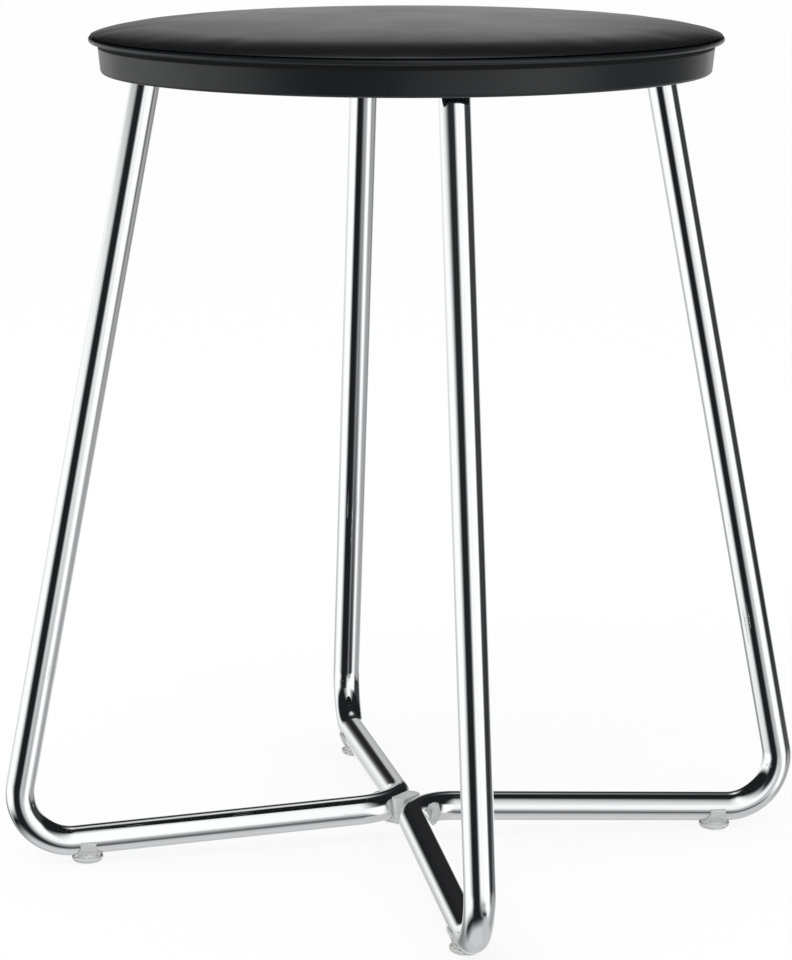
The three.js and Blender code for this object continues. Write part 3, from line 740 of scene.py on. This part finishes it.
class STOOL_OT_seat_pan(bpy.types.Operator):
    """Makes the black moulded pan with its skirt, lip, sockets and ribs"""

    bl_idname = "stool.seat_pan"
    bl_label = "Seat pan"

    def execute(self, context):
        sizes, seat = context.scene.stool_frame_sizes, context.scene.stool_seat_sizes
        parts = context.scene.stool_part_sizes
        lip_top = seat.lip_height + seat.lip_thickness
        web_top = lip_top - seat.recess_depth
        web_low = web_top - seat.web_thickness
        skirt_low = seat.lip_height - seat.skirt_depth
        edge, soft = seat.lip_round, seat.skirt_round
        rib, rib_depth, ring, sunk, root_share = 2 * MM, 8 * MM, 62 * MM, 1 * MM, 0.65
        fillet, inner_slope, inner_bevel, slab_inset = 1.2 * MM, (0.2 * MM, 0.4 * MM), 0.5 * MM, 0.5 * MM
        socket_wall, socket_depth, socket_crown, socket_lift = 2.9 * MM, 30 * MM, 12 * MM, 0.6 * MM
        boss, boss_hole, boss_cut = 7.5 * MM, 4.8 * MM, 12 * MM
        screw_skin, screw_hole, head_hole, head_cut = 1.1 * MM, 2.8 * MM, 4.9 * MM, 4 * MM
        cone_low, cone_top = 2.8 * MM, 0.3 * MM
        inner = seat.skirt_bottom - seat.skirt_wall
        pan = bmesh.new()
        turned(
            pan,
            [(0, web_low), (ring - rib * root_share, web_low)]
            + rounded(ring, web_low - rib_depth + rib / 2, rib / 2, -180, 0)
            + [(ring + rib * root_share, web_low), (seat.skirt_top - seat.skirt_wall, web_low)]
            + [(inner + inner_slope[0], skirt_low + inner_slope[1]), (inner + inner_bevel, skirt_low)]
            + rounded(seat.skirt_bottom - soft, skirt_low + soft, soft, -90, 0, 8)
            + rounded(seat.skirt_top + fillet, seat.lip_height - fillet, fillet, 180, 90)
            + rounded(seat.lip_radius - edge, seat.lip_height + edge, edge, -90, 0)
            + rounded(seat.lip_radius - edge, lip_top - edge, edge, 0, 90)
            + [(seat.recess_radius, lip_top), (seat.recess_radius, web_top), (0, web_top)],
            seat.sides,
        )
        skirt_middle = seat.skirt_bottom - seat.skirt_wall / 2
        added, slab = bmesh.new(), bmesh.new()
        for _, quarter in LEGS:
            place = leg_place(sizes, quarter)
            bar(added, sizes.tube_diameter / 2 + socket_wall, -socket_depth, socket_crown, PLAIN, place)
        slab_top = web_top - seat.web_thickness / 2
        bar(slab, seat.skirt_bottom - slab_inset, skirt_low + socket_lift, slab_top, FINE)
        added = combined(added, slab, "INTERSECT")
        ribs = bmesh.new()
        runs = []
        for _, quarter in LEGS:
            runs.append((ring, sizes.leg_top_reach, quarter))
            runs.append((sizes.leg_top_reach, skirt_middle, quarter))
            runs.append((parts.boss_circle, skirt_middle, quarter + 0.5))
        for start, end, quarter in runs:
            square = [(start, -rib / 2), (end, -rib / 2), (end, rib / 2), (start, rib / 2)]
            prism(ribs, square, web_low - rib_depth, web_low + sunk, quarter_turn(quarter))
        for index in range(4):
            place = Matrix.Translation(boss_place(parts, index))
            bar(ribs, boss, web_low - rib_depth, web_low + sunk, SMALL, place)
        pan = combined(pan, added, "UNION")
        pan = combined(pan, ribs, "UNION")
        cuts = bmesh.new()
        head_top = (web_top - screw_skin - sizes.leg_top_height) / math.cos(leg_lean(sizes))
        for index, (_, quarter) in enumerate(LEGS):
            place = leg_place(sizes, quarter)
            bar(cuts, sizes.tube_diameter / 2 + LOOSE_GAP, -socket_depth - 2 * sunk, 0, PLAIN, place)
            place = Matrix.Translation(boss_place(parts, index) + UP * web_low)
            bar(cuts, boss_hole, -boss_cut, boss_cut, SMALL, place)
        pan = combined(pan, cuts, "DIFFERENCE")
        sinks = bmesh.new()
        for _, quarter in LEGS:
            shank = [(0, -sunk), (screw_hole, -sunk), (screw_hole, head_top - cone_low)]
            over = head_top + head_cut
            head = [(head_hole, head_top - cone_top), (head_hole, over), (0, over)]
            turned(sinks, shank + head, SMALL, leg_place(sizes, quarter))
        pan = combined(pan, sinks, "DIFFERENCE")
        piece = closed_piece(pan, "seat_pan_moulding")
        dress(piece, "pan_plastic", "seat_pan")
        return {"FINISHED"}


def roll_start(seat):
    """Distance from the middle at which the edge roll leaves the dome."""
    return seat.lip_radius - seat.cover_inset + seat.roll_overhang - seat.roll_width


def crown_height(seat, radius):
    """Height of the cushion's outside at a distance from its middle."""
    dome = seat.dome_drop * (radius / roll_start(seat)) ** 2
    along = max(0.0, radius - roll_start(seat)) / seat.roll_width
    top = seat.lip_height + seat.lip_thickness + seat.crown_rise
    return top - dome - seat.roll_drop * (1 - math.sqrt(max(0.0, 1 - along**2)))


def crown_points(seat, outer, lowered, roll_steps=22, dome_steps=40):
    """Points of the crown from an outer radius to the middle."""
    start = roll_start(seat)
    radii = [start + (outer - start) * math.sin(QUARTER * (1 - i / roll_steps)) for i in range(roll_steps)]
    radii += [start * (1 - i / dome_steps) for i in range(dome_steps + 1)]
    return [(radius, crown_height(seat, radius) - lowered) for radius in radii]


def creased(piece, limit):
    """Keeps edges sharper than an angle sharp under a subdivision."""
    bm = bmesh.new()
    bm.from_mesh(piece.data)
    layer = bm.edges.layers.float.new("crease_edge")
    for edge in bm.edges:
        if edge.calc_face_angle(0) > math.radians(limit):
            edge[layer] = 1.0
    bm.to_mesh(piece.data)
    bm.free()


def stuffed(piece, rises, swell, frames=20, least=0.01 * MM):
    """Lets the padding push the free part of a cover out, as cloth under pressure."""
    scene = bpy.context.scene
    start = [v.co.copy() for v in piece.data.vertices]
    pinned = piece.vertex_groups.new(name="pinned")
    pinned.add([i for i, free in enumerate(rises) if not free], 1.0, "REPLACE")
    cloth = piece.modifiers.new("cloth", "CLOTH")
    cloth.settings.vertex_group_mass = "pinned"
    cloth.settings.use_pressure = True
    cloth.settings.uniform_pressure_force = 4
    cloth.settings.effector_weights.gravity = 0
    cloth.settings.quality = 6
    cloth.point_cache.frame_start, cloth.point_cache.frame_end = 1, frames
    for number in range(1, frames + 1):
        scene.frame_set(number)
    view = bpy.context.evaluated_depsgraph_get()
    shape = piece.evaluated_get(view).to_mesh()
    moves = [v.co - co for v, co in zip(shape.vertices, start)]
    piece.evaluated_get(view).to_mesh_clear()
    piece.modifiers.remove(cloth)
    piece.vertex_groups.remove(pinned)
    scene.frame_set(1)
    farthest = max(move.length for move in moves)
    if farthest < least:
        raise RuntimeError("The cover did not swell")
    for vert, co, move in zip(piece.data.vertices, start, moves):
        vert.co = co + move * (swell / farthest)
    piece.data.update()


class STOOL_OT_cushion(bpy.types.Operator):
    """Makes the leatherette cover and the foam pad in it"""

    bl_idname = "stool.cushion"
    bl_label = "Cushion"

    def execute(self, context):
        seat = context.scene.stool_seat_sizes
        edge = seat.lip_radius - seat.cover_inset
        rest_gap, tuck, kept_rim, near, foam_inset = 0.25 * MM, 1.6 * MM, 1 * MM, 0.1 * MM, 2 * MM
        low = seat.lip_height + seat.lip_thickness + rest_gap
        thick = seat.cover_thickness
        cavity, hem = edge - seat.cavity_inset, edge - seat.hem_width
        swell = seat.swell
        bm = bmesh.new()
        turned(
            bm,
            [(hem, low), (edge - tuck, low)]
            + [(r, z - swell * (1 - (r / edge) ** 2)) for r, z in crown_points(seat, edge, 0)]
            + crown_points(seat, cavity, thick, 14, 24)[::-1]
            + [(cavity, low + thick), (hem, low + thick), (hem, low)],
            seat.sides // 2,
        )
        cover = closed_piece(bm, "seat_cover_leatherette", sharp=50)
        if swell:
            free = []
            for vert in cover.data.vertices:
                out = vert.co.xy.length
                top = crown_height(seat, out) - swell * (1 - (out / edge) ** 2)
                free.append(out < edge - kept_rim and abs(vert.co.z - top) < near)
            stuffed(cover, free, swell)
        creased(cover, limit=40)
        finer = cover.modifiers.new("finer", "SUBSURF")
        finer.levels = finer.render_levels = 1
        dress(cover, "leatherette", "seat_cover")
        bm = bmesh.new()
        foam_edge, foam_low = cavity - foam_inset, low + thick + LOOSE_GAP
        crown = crown_points(seat, foam_edge, thick + LOOSE_GAP, 10, 24)
        turned(bm, [(0, foam_low), (foam_edge, foam_low)] + crown, FINE)
        foam = closed_piece(bm, "seat_foam_pad", sharp=50)
        dress(foam, "foam", "seat_foam")
        return {"FINISHED"}


class STOOL_OT_fasteners(bpy.types.Operator):
    """Makes the carrier's screws and finishes the plugs, leg screws and carrier"""

    bl_idname = "stool.fasteners"
    bl_label = "Fasteners"

    def execute(self, context):
        parts = context.scene.stool_part_sizes
        shank_length, shank, point = 11.4 * MM, 2 * MM, 0.8 * MM
        head, head_round, washer, washer_thick, bevel = 3.8 * MM, 1 * MM, 6.25 * MM, 1.2 * MM, 0.2 * MM
        key_width, key_depth, key_sides = 3 * MM, 1.6 * MM, 6
        for index in range(4):
            name = f"carrier_screw_{index + 1}"
            low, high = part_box(name)
            place = Matrix.Translation(boss_place(parts, index))
            top = high.z - shank_length
            under = top - washer_thick
            bm = bmesh.new()
            turned(
                bm,
                [(0, low.z)]
                + rounded(head - head_round, low.z + head_round, head_round, -90, 0)
                + [(head, under), (washer - bevel, under), (washer, under + bevel)]
                + [(washer, top - bevel), (washer - bevel, top), (shank, top), (shank, high.z - point)]
                + [(shank - point, high.z), (0, high.z)],
                SMALL,
                place,
            )
            socket = bmesh.new()
            bar(socket, key_width / math.sqrt(3), low.z - head_round, low.z + key_depth, key_sides, place)
            piece = closed_piece(combined(bm, socket, "DIFFERENCE"), name + "_steel")
            dress(piece, "steel", name)
        kept = ["cushion_carrier"] + [f"leg_{kind}_{side}" for kind in ("plug", "screw") for side, _ in LEGS]
        for name in kept:
            finish = "carrier_plastic" if name == "cushion_carrier" else "steel"
            coated(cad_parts[name], finish)
        return {"FINISHED"}


# Studio

# Each card, in degrees: its middle round the stool from the right of the photograph's view, its half
# width, its lowest and highest elevation, and its softness round and up. Then its colour.
CARDS = (
    ("floor", 0, 200, -120, -52, 10, 24, (0.6, 0.61, 0.62)),
    ("right floor", 46, 106, -73, -20, 36, 12, (0.54, 0.55, 0.56)),
    ("right near floor", 13, 18, -44, -11, 19, 10, (0.35, 0.36, 0.37)),
    ("far wall", 129, 83, -32, 7, 38, 16, (1.02, 1.02, 1.02)),
    ("far wall shade", 126, 22, -38, -16, 31, 45, (0.02, 0.02, 0.02)),
    ("front softbox", 284, 22, -18, 75, 60, 38, (1.1, 1.1, 1.1)),
    ("front softbox foot", 318, 22, -36, 21, 25, 15, (1.12, 1.12, 1.12)),
    ("front dim", 296, 13, -39, -16, 24, 8, (0.42, 0.42, 0.43)),
    ("front floor shade", 305, 18, -39, -30, 18, 12, (0.01, 0.01, 0.011)),
    ("rear wall", 91, 24, 4, 52, 20, 10, (0.018, 0.018, 0.019)),
    ("rear wall glow", 86, 10, 30, 48, 14, 14, (0.04, 0.04, 0.042)),
    ("rear top lamp", 91, 11, 47, 63, 37, 20, (1.12, 1.12, 1.12)),
    ("rear wall top", 90, 14, 4.5, 30, 6, 5, (0.02, 0.02, 0.021)),
    ("rear wall foot", 90, 10.5, -2, 4, 8, 4, (0.4, 0.4, 0.4)),
    ("rear window", 90, 6.3, -2, 14.3, 7, 4, (0.51, 0.51, 0.51)),
    ("right dark side", 5, 25, -6, 22, 14, 8, (0.045, 0.046, 0.048)),
    ("left dark side", 244, 19, -4, 17, 16, 4, (0.03, 0.031, 0.033)),
    ("left dark corner", 246, 24, -47, 12, 19, 38, (0.012, 0.014, 0.016)),
    ("side glow", 201, 11, -24, -11, 38, 12, (1.12, 1.12, 1.12)),
)
DARK_STUDIO = (0.013, 0.0135, 0.014)


def blended(tree, factor, first, second):
    return add(tree, "ShaderNodeMixShader", {0: factor, 1: first.outputs[0], 2: second.outputs[0]})


def mirrored(tree, rays):
    """1 for a reflected ray and 0 for one that came through the clear plastic, which is glossy too."""
    left = math_node(tree, "SUBTRACT", rays["Is Glossy Ray"], rays["Is Transmission Ray"])
    return math_node(tree, "MAXIMUM", left, 0)


def studio_colour(tree, turn):
    """Colour of the studio in the direction of a reflected ray."""
    way = add(tree, "ShaderNodeTexCoord").outputs["Generated"]
    parts = add(tree, "ShaderNodeSeparateXYZ", {0: way}).outputs
    azimuth = math_node(tree, "ARCTAN2", parts["Y"], parts["X"])
    elevation = math_node(tree, "ARCSINE", parts["Z"])
    seen = add(tree, "ShaderNodeRGB").outputs[0]
    seen.default_value = (*DARK_STUDIO, 1)
    for _, middle, half, low, high, soft_round, soft_up, value in CARDS:
        middle, half, low, high, soft_round, soft_up = (
            math.radians(x) for x in (middle - turn, half, low, high, soft_round, soft_up)
        )
        apart = math_node(tree, "WRAP", math_node(tree, "SUBTRACT", azimuth, middle), math.pi, -math.pi)
        beside = soft_edge(tree, math_node(tree, "ABSOLUTE", apart), half, soft_round)
        above = math_node(tree, "ABSOLUTE", math_node(tree, "SUBTRACT", elevation, (low + high) / 2))
        level = soft_edge(tree, above, (high - low) / 2, soft_up)
        card = math_node(tree, "MULTIPLY", beside, level)
        values = {"Factor": card, 6: seen, 7: (*value, 1)}
        seen = add(tree, "ShaderNodeMix", values, data_type="RGBA").outputs[2]
    return seen


class STOOL_OT_studio(bpy.types.Operator):
    """Makes the camera, the pale floor and the studio's light"""

    bl_idname = "stool.studio"
    bl_label = "Studio"

    def execute(self, context):
        studio = context.scene.stool_studio
        turn = Matrix.Rotation(-math.radians(studio.camera_turn), 4, "Z")
        camera = linked("view_camera", bpy.data.cameras.new("view_camera"))
        camera.location = turn @ Vector((studio.camera_side, -studio.camera_distance, studio.camera_height))
        camera.rotation_euler = (math.radians(90 - studio.camera_pitch), 0, -math.radians(studio.camera_turn))
        camera.data.lens = studio.camera_lens
        camera.data.sensor_width = 36
        camera.data.clip_start, camera.data.clip_end = 0.05, 200
        context.scene.camera = camera
        self.make_floor(studio)
        self.make_world(context, studio)
        self.make_lamp()
        context.scene.view_settings.view_transform = "Standard"
        return {"FINISHED"}

    def make_floor(self, studio):
        bm = bmesh.new()
        bmesh.ops.create_grid(bm, x_segments=2, y_segments=2, size=studio.floor_size / 2)
        floor = meshed(bm, "studio_floor")
        material = bpy.data.materials.new("pale_floor")
        material.use_nodes = True
        tree = material.node_tree
        tree.nodes.clear()
        rays = add(tree, "ShaderNodeLightPath").outputs
        matte = add(tree, "ShaderNodeBsdfDiffuse", {"Color": (studio.floor,) * 3 + (1,)})
        white = add(tree, "ShaderNodeEmission", {"Color": (1, 1, 1, 1), "Strength": 1.0})
        plain = math_node(tree, "MAXIMUM", rays["Is Camera Ray"], rays["Is Transmission Ray"])
        share_white = math_node(tree, "MULTIPLY", plain, studio.floor_white)
        seen = blended(tree, share_white, matte, white)
        mix = blended(tree, mirrored(tree, rays), seen, add(tree, "ShaderNodeBsdfTransparent"))
        add(tree, "ShaderNodeOutputMaterial", {"Surface": mix.outputs[0]})
        floor.data.materials.append(material)

    def make_world(self, context, studio):
        world = bpy.data.worlds.new("studio")
        context.scene.world = world
        world.use_nodes = True
        world.cycles.sampling_method = "NONE"
        tree = world.node_tree
        tree.nodes.clear()
        rays = add(tree, "ShaderNodeLightPath").outputs
        even = add(tree, "ShaderNodeBackground", {"Color": (1, 1, 1, 1), "Strength": studio.ambient})
        white = add(tree, "ShaderNodeBackground", {"Color": (1, 1, 1, 1), "Strength": 1.0})
        cards = studio_colour(tree, studio.camera_turn)
        seen = add(tree, "ShaderNodeBackground", {"Color": cards, "Strength": 1.0})
        plain = math_node(tree, "MAXIMUM", rays["Is Camera Ray"], rays["Is Transmission Ray"])
        mixed = blended(tree, mirrored(tree, rays), blended(tree, plain, even, white), seen)
        add(tree, "ShaderNodeOutputWorld", {"Surface": mixed.outputs[0]})

    def make_lamp(self):
        lamp = bpy.data.lights.new("soft_lamp", "AREA")
        lamp.shape = "DISK"
        lamp.size = 2.4
        lamp.energy = 22
        holder = linked("soft_lamp", lamp)
        holder.location = (-0.9, -1.3, 2.6)
        aim = Vector((0, 0, 0.3))
        holder.rotation_euler = (aim - holder.location).to_track_quat("-Z", "Y").to_euler()
        holder.visible_glossy = False


class STOOL_PT_panel(bpy.types.Panel):
    """Buttons for the stool's pieces"""

    bl_label = "Round padded stool"
    bl_idname = "STOOL_PT_panel"
    bl_space_type = "VIEW_3D"
    bl_region_type = "UI"
    bl_category = "Stool"

    def draw(self, context):
        for operator in OPERATORS:
            self.layout.operator(operator.bl_idname)


SETTINGS = (
    ("stool_frame_sizes", StoolFrameSizes),
    ("stool_seat_sizes", StoolSeatSizes),
    ("stool_part_sizes", StoolPartSizes),
    ("stool_finishes", StoolFinishes),
    ("stool_studio", StoolStudio),
)
OPERATORS = (
    STOOL_OT_frame_tubes,
    STOOL_OT_centre_clip,
    STOOL_OT_foot_glides,
    STOOL_OT_seat_pan,
    STOOL_OT_cushion,
    STOOL_OT_fasteners,
    STOOL_OT_studio,
)


def register():
    for name, kind in SETTINGS:
        bpy.utils.register_class(kind)
        setattr(bpy.types.Scene, name, PointerProperty(type=kind))
    for kind in OPERATORS + (STOOL_PT_panel,):
        bpy.utils.register_class(kind)


def unregister():
    for kind in reversed(OPERATORS + (STOOL_PT_panel,)):
        bpy.utils.unregister_class(kind)
    for name, kind in reversed(SETTINGS):
        delattr(bpy.types.Scene, name)
        bpy.utils.unregister_class(kind)


def main():
    register()
    bpy.ops.stool.studio()
    bpy.ops.stool.frame_tubes()
    bpy.ops.stool.centre_clip()
    bpy.ops.stool.foot_glides()
    bpy.ops.stool.seat_pan()
    bpy.ops.stool.cushion()
    bpy.ops.stool.fasteners()


if __name__ == "__main__":
    main()
